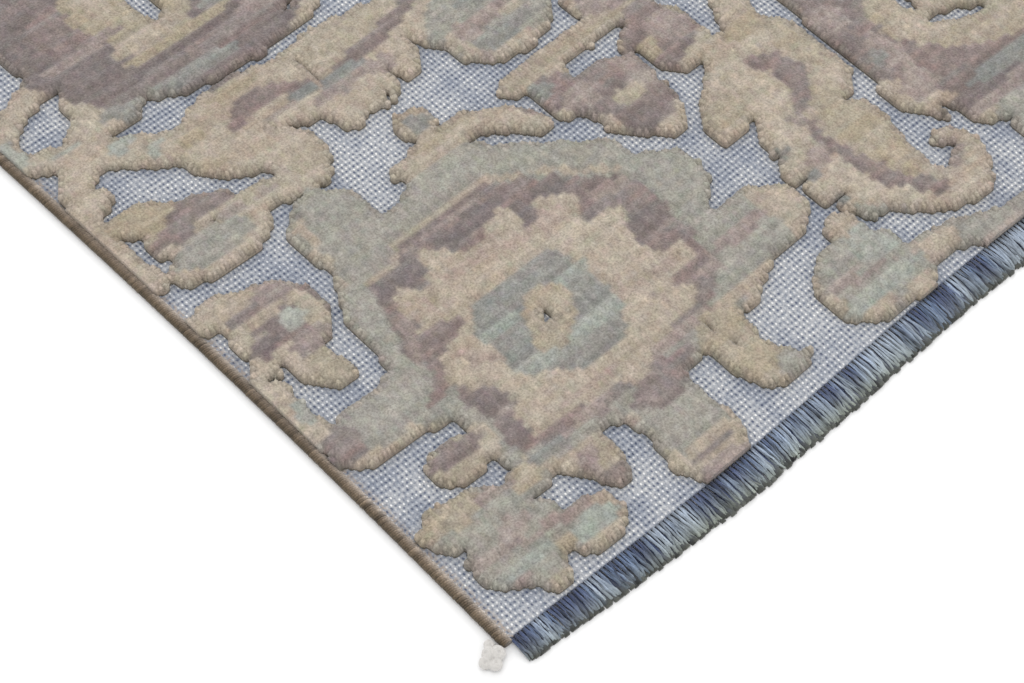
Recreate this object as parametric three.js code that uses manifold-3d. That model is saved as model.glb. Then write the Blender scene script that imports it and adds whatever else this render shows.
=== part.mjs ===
// A Turkish rug, 1.2 m by 1.8 m: a plain-woven ground with flower motifs standing up
// from it in cut pile, an overcast binding down each side and a cut yarn fringe at each end.
// Millimetres, +X across the width, +Y along the length, +Z up, lying flat on its underside.
import * as THREE from "three";
import { mergeVertices } from "three/addons/utils/BufferGeometryUtils.js";
import Module from "manifold-3d";

const wasm = await Module();
wasm.setup();

// Driving dimensions
const WIDTH = 1200; // over the bindings
const LENGTH = 1800; // of the cloth, without the fringe
const GROUND_TOP = 2.5; // thickness of the plain weave
const PILE_TOP = 9; // height of the cut pile over the floor
const PILE_FOOT = 1; // how deep a motif is rooted in the weave
const GAP = 0.3; // between neighbouring pieces
const MARGIN = 0.5; // bare weave between the pile and the edge of the cloth
const TOUCHING = 1e-3; // distance under which two places are the same
const EDGE_STEP = 100; // spacing of the points along an edge that wanders

const BINDING = { width: 6, height: 5.6, past: 2 }; // overcast selvedge, and its reach past the cloth
// Its section, as shares of half its width and of its height.
const BINDING_SECTION = [
  [-0.55, 0], [0.55, 0], [1, 0.3], [1, 0.62], [0.6, 1], [-0.6, 1], [-1, 0.62], [-1, 0.3],
];
const FRINGE = {
  locks: 110, // at each end
  strip: 6, // width of the woven strip that the locks grow from
  thickness: 2.5,
  reach: 22, // from the cloth to the tips
  uneven: 1.6, // how far the tips differ
  lean: 1.4, // how far a tip strays sideways
  part: 2.4, // the gap between two tips
  tipHeight: 1.7,
  seed: 7, // of the random numbers that set each lock's tip
};
const KNOT = { flatten: 0.85, around: 7, high: 5 }; // how flat its loops lie, and their facets
// Its loops: centre x, y from the corner of the rug, and radius.
const KNOT_LOOPS = [
  { x: -4.4, y: -3, r: 5 },
  { x: -10.9, y: -7, r: 4.6 },
  { x: -9.9, y: 1.5, r: 4.4 },
  { x: -4.9, y: 5, r: 4 },
  { x: -14.9, y: -2, r: 4 },
];
// The rug doesn't lie quite straight: its sides sway in and out, and its ends too.
const SIDE_SWAY = { size: 2.8, wave: 900, phase: -0.23 };
const END_SWAY = { size: 2.3, wave: 450, phase: 0.81 };

// The design is drawn for one quarter of the rug. Its own zero lies a little outside the corner of the
// cloth, by this much, and the other quarters mirror it.
const DRAWING = { x: -4.5, y: -11.5 };
const MIDDLE_X = WIDTH / 2 - DRAWING.x; // the rug's long centre line, in the drawing
const MIDDLE_Y = LENGTH / 2 - DRAWING.y; // its short one

const HALF_TURN = 180;
const radians = (degrees) => (degrees * Math.PI) / HALF_TURN;

// Which copies of a motif the rug carries: its quarters, or fewer for a motif on a centre line.
const SPREAD = {
  quarters: [[1, 1], [-1, 1], [1, -1], [-1, -1]],
  ends: [[1, 1], [1, -1]],
  sides: [[1, 1], [-1, 1]],
  once: [[1, 1]],
};

// Motifs. A round is a disc, oval or blossom: centre x, y, half sizes rx, ry, turn in degrees, and
// petals as lobes that swell and shrink it by depth. A stroke is a stem, leaf or scroll through a few
// stations, each x, y and the width there.
const MOTIFS = [
  {
    name: "collared palmette by the corner",
    spread: "quarters",
    rounds: [
      { x: 190, y: 182, rx: 112, ry: 112, sides: 14 },
      { x: 125, y: 300, rx: 30, ry: 33 },
      { x: 205, y: 276, rx: 38, ry: 26, sides: 7 },
      { x: 238, y: 256, rx: 25, ry: 24, sides: 7 },
      { x: 276, y: 221, rx: 28, ry: 26, sides: 7 },
      { x: 300, y: 182, rx: 30, ry: 30, sides: 7 },
      { x: 324, y: 120, rx: 35, ry: 27 },
      { x: 275, y: 112, rx: 42, ry: 32, sides: 6 },
      { x: 112, y: 118, rx: 30, ry: 40, sides: 6 },
      { x: 108, y: 236, rx: 25, ry: 50, turn: -14, sides: 7 },
      { x: 288, y: 150, rx: 22, ry: 24, sides: 6 },
    ],
    strokes: [
      [[185, 90, 52], [185, 56, 44], [184, 32, 54], [188, 14, 36]],
      [[250, 92, 34], [247, 62, 30], [251, 44, 30], [268, 34, 14]],
      [[120, 88, 40], [130, 64, 25], [131, 50, 16]],
      [[92, 170, 48], [50, 170, 42], [27, 168, 38]],
    ],
  },
  {
    name: "bud and blossom in the corner",
    spread: "quarters",
    rounds: [
      { x: 68, y: 120, rx: 23, ry: 16, sides: 7 },
      { x: 45, y: 85, rx: 33, ry: 19, turn: -14, sides: 7 },
      { x: 56, y: 53, rx: 34, ry: 27 },
      { x: 98, y: 36, rx: 24, ry: 18, sides: 7 },
      { x: 58, y: 26, rx: 10, ry: 13, sides: 6 },
      { x: 88, y: 82, rx: 16, ry: 12, sides: 6 },
    ],
    strokes: [[[18, 182, 15], [17, 215, 14], [21, 246, 17]]],
  },
  {
    name: "rosette and tail leaf at the side",
    spread: "quarters",
    rounds: [
      { x: 52, y: 268, rx: 33, ry: 33, sides: 9 },
      { x: 28, y: 297, rx: 20, ry: 12, sides: 6 },
    ],
    strokes: [[[50, 246, 28], [49, 226, 24], [57, 213, 19]]],
  },
  {
    name: "vine along the side",
    spread: "quarters",
    rounds: [{ x: 25, y: 415, rx: 16, ry: 11, sides: 6 }],
    strokes: [
      [[15, 340, 17], [13, 372, 13], [15, 408, 14], [27, 436, 21], [50, 447, 24], [72, 434, 24], [98, 414, 28]],
      [[38, 453, 22], [60, 463, 24], [82, 472, 26]],
      [[38, 458, 18], [14, 468, 17], [13, 490, 15], [32, 506, 15], [66, 520, 19]],
    ],
  },
  {
    name: "curling blossom",
    spread: "quarters",
    rounds: [
      { x: 42, y: 385, rx: 23, ry: 13, turn: -22, sides: 7 },
      { x: 62, y: 362, rx: 35, ry: 20 },
      { x: 62, y: 335, rx: 40, ry: 16 },
    ],
    strokes: [
      [[78, 350, 24], [112, 351, 20], [140, 346, 28]],
      [[106, 410, 44], [122, 388, 44], [145, 362, 46], [146, 349, 34]],
    ],
  },
  {
    name: "cloud leaf",
    spread: "quarters",
    rounds: [
      { x: 147, y: 415, rx: 50, ry: 28, sides: 10 },
      { x: 193, y: 367, rx: 15, ry: 14, sides: 6 },
      { x: 218, y: 365, rx: 13, ry: 13, sides: 6 },
      { x: 243, y: 372, rx: 16, ry: 14, sides: 6 },
      { x: 272, y: 382, rx: 13, ry: 12, sides: 6 },
    ],
    strokes: [[[150, 402, 44], [214, 404, 66], [272, 400, 50], [325, 388, 26]]],
  },
  {
    name: "palmette at the side",
    spread: "quarters",
    rounds: [
      { x: 165, y: 555, rx: 108, ry: 110, lobes: 9, depth: 0.035, sides: 18 },
      { x: 84, y: 482, rx: 26, ry: 30 },
    ],
  },
  {
    name: "stem, leaf and bud",
    spread: "quarters",
    rounds: [{ x: 217, y: 330, rx: 14, ry: 16, sides: 6 }],
    strokes: [[[182, 307, 12], [206, 307, 17], [244, 306, 18], [267, 288, 20], [278, 270, 13]]],
  },
  {
    name: "straight branch with two flowers under it",
    spread: "quarters",
    rounds: [
      { x: 385, y: 330, rx: 30, ry: 20 },
      { x: 388, y: 268, rx: 26, ry: 31 },
      { x: 369, y: 277, rx: 12, ry: 16, sides: 6 },
      { x: 336, y: 262, rx: 27, ry: 22, sides: 7 },
    ],
    strokes: [
      [[282, 309, 18], [350, 308, 19], [415, 308, 19], [462, 306, 20]],
      [[300, 287, 34], [324, 262, 56], [338, 237, 52], [339, 216, 26]],
    ],
  },
  {
    name: "round blossom",
    spread: "quarters",
    rounds: [{ x: 317, y: 361, rx: 44, ry: 36, lobes: 5, depth: 0.05, sides: 10 }],
  },
  {
    name: "saz leaf",
    spread: "quarters",
    rounds: [
      { x: 371, y: 131, rx: 13, ry: 11, sides: 6 },
      { x: 374, y: 104, rx: 13, ry: 10, sides: 6 },
      { x: 391, y: 78, rx: 14, ry: 13, sides: 6 },
      { x: 420, y: 178, rx: 24, ry: 34, sides: 6 },
    ],
    strokes: [
      [[361, 188, 30], [382, 206, 32], [412, 227, 44], [437, 210, 42], [439, 176, 38], [441, 160, 20]],
      [[404, 198, 16], [393, 166, 44], [405, 132, 86], [406, 98, 70], [420, 60, 46], [448, 52, 32], [465, 70, 20]],
      [[430, 240, 24], [444, 272, 22], [462, 300, 18]],
    ],
  },
  {
    name: "end blossom and its stem",
    spread: "quarters",
    rounds: [
      { x: 345, y: 46, rx: 38, ry: 33 },
      { x: 359, y: 80, rx: 13, ry: 14, sides: 6 },
      { x: 364, y: 21, rx: 14, ry: 10, sides: 6 },
    ],
    strokes: [[[376, 33, 24], [410, 28, 24], [445, 16, 17], [482, 15, 15]]],
  },
  {
    name: "palmette on the long centre line",
    spread: "ends",
    rounds: [
      { x: MIDDLE_X, y: 185, rx: 160, ry: 134, lobes: 4, depth: -0.08, sides: 20 },
      { x: MIDDLE_X, y: 56, rx: 108, ry: 38, sides: 10 },
      { x: MIDDLE_X, y: 322, rx: 46, ry: 34, sides: 8 },
    ],
  },
  {
    name: "small palmette above it",
    spread: "ends",
    rounds: [{ x: MIDDLE_X, y: 455, rx: 80, ry: 78, lobes: 8, depth: 0.06, sides: 16 }],
  },
  {
    name: "medallion in the middle",
    spread: "once",
    rounds: [
      { x: MIDDLE_X, y: MIDDLE_Y, rx: 152, ry: 172, lobes: 8, depth: 0.07, sides: 32 },
    ],
  },
  {
    name: "palmette half-way to the middle",
    spread: "quarters",
    rounds: [
      { x: 420, y: 590, rx: 92, ry: 96, lobes: 6, depth: 0.05, sides: 12 },
      { x: 400, y: 412, rx: 36, ry: 30, sides: 7 },
      { x: 520, y: 700, rx: 38, ry: 34, sides: 7 },
    ],
    strokes: [
      [[412, 500, 40], [404, 438, 22]],
      [[520, 372, 18], [498, 398, 44], [478, 436, 40], [452, 458, 14]],
      [[448, 672, 22], [454, 740, 30], [428, 815, 24]],
      [[482, 334, 14], [506, 352, 30], [546, 366, 14]],
      [[546, 560, 16], [566, 606, 36], [540, 648, 14]],
    ],
  },
  {
    name: "side palmette towards the middle",
    spread: "quarters",
    rounds: [
      { x: 165, y: 790, rx: 90, ry: 88, lobes: 6, depth: 0.05, sides: 12 },
      { x: 318, y: 474, rx: 32, ry: 28, sides: 7 },
      { x: 42, y: 678, rx: 28, ry: 30, sides: 7 },
      { x: 372, y: 778, rx: 30, ry: 34, sides: 7 },
    ],
    strokes: [
      [[14, 548, 14], [13, 610, 13], [18, 660, 15]],
      [[16, 712, 14], [13, 790, 13], [18, 862, 16]],
      [[290, 560, 16], [312, 640, 54], [304, 720, 48], [276, 764, 16]],
      [[165, 655, 30], [165, 720, 30]],
      [[224, 850, 18], [250, 884, 26]],
    ],
  },
  {
    name: "rosettes on the short centre line",
    spread: "sides",
    rounds: [
      { x: 320, y: MIDDLE_Y, rx: 62, ry: 70, lobes: 6, depth: 0.07, sides: 12 },
      { x: 48, y: MIDDLE_Y, rx: 34, ry: 40, sides: 8 },
    ],
  },
];

// Small places inside the blossoms where no pile was knotted and the weave shows.
const BARE_SPOTS = [
  { x: 175, y: 162, rx: 4, ry: 9, turn: -35, sides: 6 },
  { x: 156, y: 532, rx: 9, ry: 24, sides: 6 },
  { x: 526, y: 186, rx: 6, ry: 14, sides: 6 },
  { x: 543, y: 156, rx: 25, ry: 7, turn: -22, sides: 6 },
  { x: 420, y: 590, rx: 8, ry: 14, sides: 6 },
  { x: 165, y: 790, rx: 8, ry: 14, sides: 6 },
];

const COLOURS = { pile: 0xb3a48f, binding: 0x8a7f70, fringe: 0x5f7896, knot: 0xdcdfe0 };

// A point of the straight rug, moved to where it lies.
function lie([x, y]) {
  const along = (2 * Math.PI * (y + LENGTH / 2)) / SIDE_SWAY.wave + SIDE_SWAY.phase;
  const across = (2 * Math.PI * (x + WIDTH / 2)) / END_SWAY.wave + END_SWAY.phase;
  return [x + SIDE_SWAY.size * Math.sin(along), y + END_SWAY.size * Math.cos(across)];
}

// A point of the drawing in one of the four quarters of the straight rug.
function onRug([x, y], [flipX, flipY]) {
  return [
    flipX * (x + DRAWING.x - WIDTH / 2),
    flipY * (y + DRAWING.y - LENGTH / 2),
  ];
}

// Outline of a round, as points of the drawing.
function roundOutline({ x, y, rx, ry, turn = 0, lobes = 0, depth = 0, sides = 8 }) {
  const [cos, sin] = [Math.cos(radians(turn)), Math.sin(radians(turn))];
  return Array.from({ length: sides }, (_, i) => {
    const angle = (2 * Math.PI * (i + 0.5)) / sides;
    const swell = 1 + depth * Math.cos(lobes * angle);
    const [u, v] = [rx * swell * Math.cos(angle), ry * swell * Math.sin(angle)];
    return [x + u * cos - v * sin, y + u * sin + v * cos];
  });
}

// Outline of a stroke: its two sides, and a rounded tip half a width past each end.
function strokeOutline(stations) {
  const last = stations.length - 1;
  const frames = stations.map(([x, y, width], i) => {
    const [before, after] = [stations[Math.max(i - 1, 0)], stations[Math.min(i + 1, last)]];
    const way = new THREE.Vector2(after[0] - before[0], after[1] - before[1]).normalize();
    return { x, y, half: width / 2, way };
  });
  const side = ({ x, y, half, way }, sign) => [x - sign * half * way.y, y + sign * half * way.x];
  const tip = ({ x, y, half, way }, sign) => [x + sign * half * way.x, y + sign * half * way.y];
  return [
    tip(frames[0], -1),
    ...frames.map((frame) => side(frame, -1)),
    tip(frames[last], 1),
    ...frames.toReversed().map((frame) => side(frame, 1)),
  ];
}

const solidFrom = (vertProperties, triVerts) =>
  new wasm.Manifold(new wasm.Mesh({ numProp: 3, vertProperties, triVerts }));

// A closed mesh as a solid that can be joined and cut.
function solid(geometry) {
  geometry.deleteAttribute("normal");
  geometry.deleteAttribute("uv");
  const merged = mergeVertices(geometry, 1e-4);
  return solidFrom(merged.attributes.position.array, new Uint32Array(merged.index.array));
}

// The outlines of a solid's flat top, each with its holes, as shapes. Edges that two triangles of the
// top share lie inside it, and the rest chain into loops.
function topShapes(body, level) {
  const { vertProperties, triVerts } = body.getMesh();
  const point = (k) => new THREE.Vector3().fromArray(vertProperties, 3 * k);
  const key = (k) => point(k).toArray().map((value) => value.toFixed(3)).join();
  const edges = new Map();
  for (let i = 0; i < triVerts.length; i += 3) {
    const corners = [...triVerts.subarray(i, i + 3)];
    if (corners.some((k) => Math.abs(point(k).z - level) > TOUCHING)) continue;
    corners.forEach((k, side) => {
      const [from, to] = [key(k), key(corners[(side + 1) % 3])];
      if (!edges.delete(`${to}>${from}`)) edges.set(`${from}>${to}`, [from, to]);
    });
  }
  const next = new Map(edges.values());
  const loops = [];
  while (next.size) {
    const loop = [];
    for (let at = next.keys().next().value; next.has(at); ) {
      const [x, y] = at.split(",").map(Number);
      loop.push(new THREE.Vector2(x, y));
      const to = next.get(at);
      next.delete(at);
      at = to;
    }
    loops.push(loop.filter((p, i) => !onLine(loop.at(i - 1), p, loop[(i + 1) % loop.length])));
  }
  const area = THREE.ShapeUtils.area;
  const shapes = loops.filter((loop) => area(loop) > 0).map((loop) => new THREE.Shape(loop));
  shapes.sort((one, other) => area(one.getPoints()) - area(other.getPoints()));
  for (const hole of loops.filter((loop) => area(loop) < 0)) {
    const around = shapes.find((shape) => contains(shape.getPoints(), hole[0]));
    around.holes.push(new THREE.Path(hole));
  }
  return shapes;
}

// Whether the middle point of three lies on the line through the other two.
function onLine(before, point, after) {
  const [a, b] = [point.clone().sub(before), after.clone().sub(point)];
  return Math.abs(a.cross(b)) < TOUCHING * (a.length() + b.length()) && a.dot(b) > 0;
}

// Whether a point lies inside a closed outline: it does if a ray from it crosses the outline an odd
// number of times.
function contains(outline, { x, y }) {
  return outline.reduce((inside, a, i) => {
    const b = outline.at(i - 1);
    const crossed = a.y > y !== b.y > y && x < ((b.x - a.x) * (y - a.y)) / (b.y - a.y) + a.x;
    return crossed ? !inside : inside;
  }, false);
}

// A flat outline raised into a slab between two heights.
function slab(outline, low, high) {
  const shape = new THREE.Shape(outline.map(([x, y]) => new THREE.Vector2(x, y)));
  const geometry = new THREE.ExtrudeGeometry(shape, { depth: high - low, bevelEnabled: false });
  return solid(geometry.translate(0, 0, low));
}

const joined = (solids) => solids.reduce((whole, piece) => whole.add(piece));

function meshOf(name, body, colour, roughness) {
  const { vertProperties, triVerts } = body.getMesh();
  const geometry = new THREE.BufferGeometry();
  geometry.setAttribute("position", new THREE.BufferAttribute(vertProperties, 3));
  geometry.setIndex(new THREE.BufferAttribute(triVerts, 1));
  geometry.computeVertexNormals();
  const material = new THREE.MeshStandardMaterial({ color: colour, roughness, metalness: 0 });
  const mesh = new THREE.Mesh(geometry, material);
  mesh.name = name;
  return mesh;
}

// The cloth: the plain weave between the bindings, and every motif standing on it.
function field() {
  const [halfWidth, halfLength] = [WIDTH / 2 - BINDING.width - GAP, LENGTH / 2];
  const acrossSteps = Math.round((2 * halfWidth) / EDGE_STEP);
  const alongSteps = Math.round((2 * halfLength) / EDGE_STEP);
  const corners = [[-1, -1], [1, -1], [1, 1], [-1, 1]];
  const edge = corners.flatMap(([fromX, fromY], i) => {
    const [toX, toY] = corners[(i + 1) % corners.length];
    const steps = fromY === toY ? acrossSteps : alongSteps;
    return Array.from({ length: steps }, (_, k) => [
      halfWidth * THREE.MathUtils.lerp(fromX, toX, k / steps),
      halfLength * THREE.MathUtils.lerp(fromY, toY, k / steps),
    ]);
  });
  const raised = (outline, flip, low, high) =>
    slab(outline.map((point) => lie(onRug(point, flip))), low, high);
  const motifs = MOTIFS.flatMap(({ spread, rounds = [], strokes = [] }) =>
    SPREAD[spread].flatMap((flip) =>
      [...rounds.map(roundOutline), ...strokes.map(strokeOutline)].map((outline) =>
        raised(outline, flip, GROUND_TOP - PILE_FOOT, PILE_TOP),
      ),
    ),
  );
  const spots = BARE_SPOTS.flatMap((spot) =>
    SPREAD.quarters.map((flip) =>
      raised(roundOutline(spot), flip, 0, PILE_TOP + PILE_FOOT),
    ),
  );
  const ground = slab(edge.map(lie), 0, GROUND_TOP);
  const inside = edge.map(([x, y]) => lie([x - Math.sign(x) * MARGIN, y - Math.sign(y) * MARGIN]));
  const relief = joined(motifs).intersect(slab(inside, 0, PILE_TOP + PILE_FOOT)).subtract(joined(spots));
  const depth = PILE_TOP - GROUND_TOP + PILE_FOOT;
  const standing = new THREE.ExtrudeGeometry(topShapes(relief, PILE_TOP), { depth, bevelEnabled: false });
  return ground.add(solid(standing.translate(0, 0, PILE_TOP - depth)));
}

// One overcast selvedge: a flattened round roll of yarn beside the cloth, from end to end.
function binding(sign) {
  const { width, height, past } = BINDING;
  const section = BINDING_SECTION.map(([x, y]) => new THREE.Vector2((width / 2) * x, height * y));
  const long = LENGTH + 2 * past;
  const geometry = new THREE.ExtrudeGeometry(new THREE.Shape(section), {
    depth: long,
    steps: Math.round(long / EDGE_STEP),
    bevelEnabled: false,
  });
  geometry.rotateX(Math.PI / 2).translate((sign * (WIDTH - width)) / 2, long / 2, 0);
  const { position } = geometry.attributes;
  for (let i = 0; i < position.count; i++) {
    const [x, y] = lie([position.getX(i), position.getY(i)]);
    position.setXY(i, x, y);
  }
  return solid(geometry);
}

// A random number between -1 and 1.
const stray = () => 2 * THREE.MathUtils.seededRandom() - 1;

// One end's fringe: a narrow strip parted from the cloth, and flat locks of yarn that lie on the
// floor, grown together at their roots and getting thinner towards their tips.
function fringe(end) {
  const { locks, strip, thickness, reach, uneven, lean, part, tipHeight, seed } = FRINGE;
  const halfWidth = WIDTH / 2 - BINDING.width - GAP;
  const [inner, root, tip] = [GAP, GAP + strip, reach].map((out) => LENGTH / 2 + out);
  const pitch = (2 * halfWidth) / locks;
  const straight = [];
  THREE.MathUtils.seededRandom(seed + end);
  for (let i = 0; i < locks; i++) {
    const [left, right] = [i * pitch - halfWidth, (i + 1) * pitch - halfWidth];
    const [aside, out] = [lean * stray(), tip + uneven * stray()];
    const tipLeft = Math.max(left + part / 2 + aside, -halfWidth);
    const tipRight = Math.min(right - part / 2 + aside, halfWidth);
    straight.push([left, root], [tipLeft, out], [tipRight, out]);
  }
  straight.push([halfWidth, root]);
  const steps = Math.round((2 * halfWidth) / EDGE_STEP);
  for (let k = steps; k >= 0; k--) straight.push([halfWidth * ((2 * k) / steps - 1), inner]);
  const outline = straight.map(([x, y]) => lie([x, end * y]));
  const shape = new THREE.Shape(outline.map(([x, y]) => new THREE.Vector2(x, y)));
  const geometry = new THREE.ExtrudeGeometry(shape, { depth: thickness, bevelEnabled: false });
  const { position } = geometry.attributes;
  for (let i = 0; i < position.count; i++) {
    const atTip = Math.abs(position.getY(i)) > root + reach / 2;
    if (atTip && position.getZ(i) > 0) position.setZ(i, tipHeight);
  }
  return solid(geometry);
}

// The tied-off end of the selvedge thread, a small knot of loops beside the corner.
function cornerKnot() {
  const { flatten, around, high } = KNOT;
  const [cornerX, cornerY] = lie([-WIDTH / 2, -LENGTH / 2]);
  return joined(
    KNOT_LOOPS.map(({ x, y, r }) => {
      const ball = new THREE.SphereGeometry(r, around, high).rotateX(Math.PI / 2).scale(1, 1, flatten);
      return solid(ball.translate(cornerX - GAP + x, cornerY + y, r * flatten));
    }),
  );
}

const rug = new THREE.Group();
rug.add(
  meshOf("field", field(), COLOURS.pile, 0.95),
  meshOf("binding_left", binding(-1), COLOURS.binding, 0.9),
  meshOf("binding_right", binding(1), COLOURS.binding, 0.9),
  meshOf("fringe_front", fringe(-1), COLOURS.fringe, 0.9),
  meshOf("fringe_back", fringe(1), COLOURS.fringe, 0.9),
  meshOf("corner_knot", cornerKnot(), COLOURS.knot, 0.6),
);

// The origin is the middle of the rug's box, on the floor.
const box = new THREE.Box3().setFromObject(rug);
const middle = box.getCenter(new THREE.Vector3());
rug.position.set(-middle.x, -middle.y, -box.min.z);

export default rug;
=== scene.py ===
# %% [markdown]
# # A Turkish rug in Blender
# The rug lies flat on a pale floor. Its ground is a plain weave of white and denim yarn, and flowers
# stand up from it in cut pile. This lesson keeps the size and the outlines of the CAD model, and adds
# what a solid can't show: tufts, streaks of yarn colour, weave, wraps and loose fringe.

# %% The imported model
import math

import bmesh
import bpy
import numpy as np
from mathutils import Matrix, Vector, noise


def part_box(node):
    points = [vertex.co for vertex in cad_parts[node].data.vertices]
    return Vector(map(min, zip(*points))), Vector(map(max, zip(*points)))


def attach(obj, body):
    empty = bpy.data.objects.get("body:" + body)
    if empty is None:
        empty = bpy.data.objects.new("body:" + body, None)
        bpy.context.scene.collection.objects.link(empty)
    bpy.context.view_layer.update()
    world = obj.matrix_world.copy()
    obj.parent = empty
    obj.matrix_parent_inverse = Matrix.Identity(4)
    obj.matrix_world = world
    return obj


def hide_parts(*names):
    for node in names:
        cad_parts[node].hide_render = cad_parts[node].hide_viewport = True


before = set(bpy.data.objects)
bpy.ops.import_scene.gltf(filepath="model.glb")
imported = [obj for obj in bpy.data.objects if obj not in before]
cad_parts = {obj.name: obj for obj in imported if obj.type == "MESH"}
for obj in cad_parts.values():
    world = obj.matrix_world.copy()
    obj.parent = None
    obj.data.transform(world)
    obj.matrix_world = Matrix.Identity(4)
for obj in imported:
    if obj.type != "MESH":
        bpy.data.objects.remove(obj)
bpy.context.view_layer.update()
MM = 0.001
random = np.random.default_rng(6)
print("nodes:", sorted(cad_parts))

# %% [markdown]
# ## Where things are
# Everything on the rug is placed on the straight rug first, in millimetres from its middle. The real
# one doesn't lie quite straight: its sides and ends sway by two or three millimetres, and `lie` moves
# every point in the same way as the CAD model does. Knots are the rug's own graph paper, one for each
# cell of the weave, so they are the natural unit for its pattern.

# %% Sizes and sway
WIDTH, LENGTH = 1200, 1800  # over the bindings, without the fringe
BINDING_WIDTH = 6
GAP = 0.3
HALF_X, HALF_Y = WIDTH / 2 - BINDING_WIDTH - GAP, LENGTH / 2
KNOTS_X, KNOTS_Y = 380, 443
FINE = 3  # steps of the finest mesh across one knot
CELL_X, CELL_Y = 2 * HALF_X / KNOTS_X, 2 * HALF_Y / KNOTS_Y
GROUND_TOP, PILE_TOP, PILE_FOOT = 2.5, 9, 1.5


def lie(x, y):
    along = 2 * np.pi * (y + LENGTH / 2) / 900 - 0.23
    across = 2 * np.pi * (x + WIDTH / 2) / 450 + 0.81
    return x + 2.8 * np.sin(along), y + 2.3 * np.cos(across)


def straight(x, y):
    """The point of the straight rug that lies at x, y, found by a few rounds of correction."""
    sx, sy = x, y
    for _ in range(5):
        lx, ly = lie(sx, sy)
        sx, sy = sx + x - lx, sy + y - ly
    return sx, sy


edge_x = np.linspace(-HALF_X, HALF_X, 13)
edge_y = np.linspace(-HALF_Y, HALF_Y, 19)
low_x = min(lie(np.full(19, -HALF_X), edge_y)[0])
low_y = min(lie(edge_x, np.full(13, -HALF_Y))[1])
field_low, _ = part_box("field")
SHIFT_X, SHIFT_Y = field_low.x / MM - low_x, field_low.y / MM - low_y
print(f"knot {CELL_X:.3f} x {CELL_Y:.3f} mm, CAD shift {SHIFT_X:.2f}, {SHIFT_Y:.2f} mm")


def place(x, y, z):
    """Points of the straight rug in millimetres, as an array of places in the frame in metres."""
    lx, ly = lie(x, y)
    return np.stack([lx + SHIFT_X, ly + SHIFT_Y, z + 0 * x], axis=-1) * MM


# %% Camera
# A long lens from the near left corner, as such a catalogue view is taken.
AIM_IN, AIM_UP = 146.6, 150.6  # the middle of the picture, in mm from the corner
target = Vector((
    (-WIDTH / 2 + AIM_IN + SHIFT_X) * MM,
    (-LENGTH / 2 + AIM_UP + SHIFT_Y) * MM,
    GROUND_TOP * MM,
))
azimuth, elevation, distance = math.radians(-42.83), math.radians(55.13), 1.6534
back = Vector((
    math.sin(azimuth) * math.cos(elevation),
    -math.cos(azimuth) * math.cos(elevation),
    math.sin(elevation),
))
camera = bpy.data.objects.new("camera", bpy.data.cameras.new("camera"))
camera.data.lens, camera.data.sensor_width = 95.6, 36
camera.location = target + back * distance
camera.rotation_euler = (-back).to_track_quat("-Z", "Y").to_euler()
camera.data.clip_start, camera.data.clip_end = 0.05, 50
bpy.context.scene.collection.objects.link(camera)
bpy.context.scene.camera = camera
print("camera at", [round(v, 3) for v in camera.location])

# %% [markdown]
# ## The knots that carry pile
# The outlines of the flowers come from the CAD solid: the edges round its flat top. A scan across the
# rug flips between weave and pile at each outline, like colouring a map row by row. Each knot is then
# pile or not, which gives the stepped edges of real knotting, and blurring that map of knots gives
# the pile's soft shoulders.

# %% Helpers for maps
# A map is an array with a value for each fine step, rows along the length of the rug.


def blurred(field, across, along):
    """A map blurred by that many steps each way."""
    high, wide = field.shape
    spectrum = np.fft.rfft2(field)
    fy, fx = np.fft.fftfreq(high)[:, None], np.fft.rfftfreq(wide)[None, :]
    spectrum *= np.exp(-2 * (np.pi * across * fx) ** 2 - 2 * (np.pi * along * fy) ** 2)
    return np.fft.irfft2(spectrum, s=field.shape)


def ranked(field):
    """The field with its values spread evenly from 0 to 1."""
    ranks = np.empty(field.size)
    ranks[np.argsort(field, axis=None)] = np.linspace(0, 1, field.size)
    return ranks.reshape(field.shape)


def grain(shape, across, along):
    """Random streaks of that size, spread evenly from 0 to 1."""
    return ranked(blurred(random.standard_normal(shape), across, along))


def to_corners(cells):
    """Values of the cells, averaged at the corners where four cells meet."""
    p = np.pad(cells, 1, mode="edge")
    return (p[:-1, :-1] + p[1:, :-1] + p[:-1, 1:] + p[1:, 1:]) / 4


def per_step(knots):
    """A map of knots on the fine steps."""
    return np.kron(knots, np.ones((FINE, FINE)))


# %% Helpers for the drawing
# One quarter of the rug is drawn, in millimetres, and the other three mirror it.
MIDDLE_X, MIDDLE_Y = 604.5, 911.5
knot_x = (np.arange(KNOTS_X) + 0.5) * CELL_X - HALF_X
knot_y = (np.arange(KNOTS_Y) + 0.5) * CELL_Y - HALF_Y
grid_x, grid_y = np.meshgrid(knot_x, knot_y)


def in_round(x, y, row):
    cx, cy, rx, ry = row
    return ((x - cx) / rx) ** 2 + ((y - cy) / ry) ** 2 < 1


def in_stroke(x, y, stations):
    inside = np.zeros(x.shape, bool)
    for (x0, y0, w0), (x1, y1, w1) in zip(stations, stations[1:]):
        dx, dy = x1 - x0, y1 - y0
        t = np.clip(((x - x0) * dx + (y - y0) * dy) / (dx * dx + dy * dy), 0, 1)
        away = np.hypot(x - x0 - t * dx, y - y0 - t * dy)
        inside |= away < (w0 + t * (w1 - w0)) / 2
    return inside


def in_area(x, y, corners):
    inside = np.zeros(x.shape, bool)
    for (x0, y0), (x1, y1) in zip(corners, corners[1:] + corners[:1]):
        if y0 != y1:
            inside ^= ((y0 > y) != (y1 > y)) & (x < x0 + (y - y0) * (x1 - x0) / (y1 - y0))
    return inside


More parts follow.
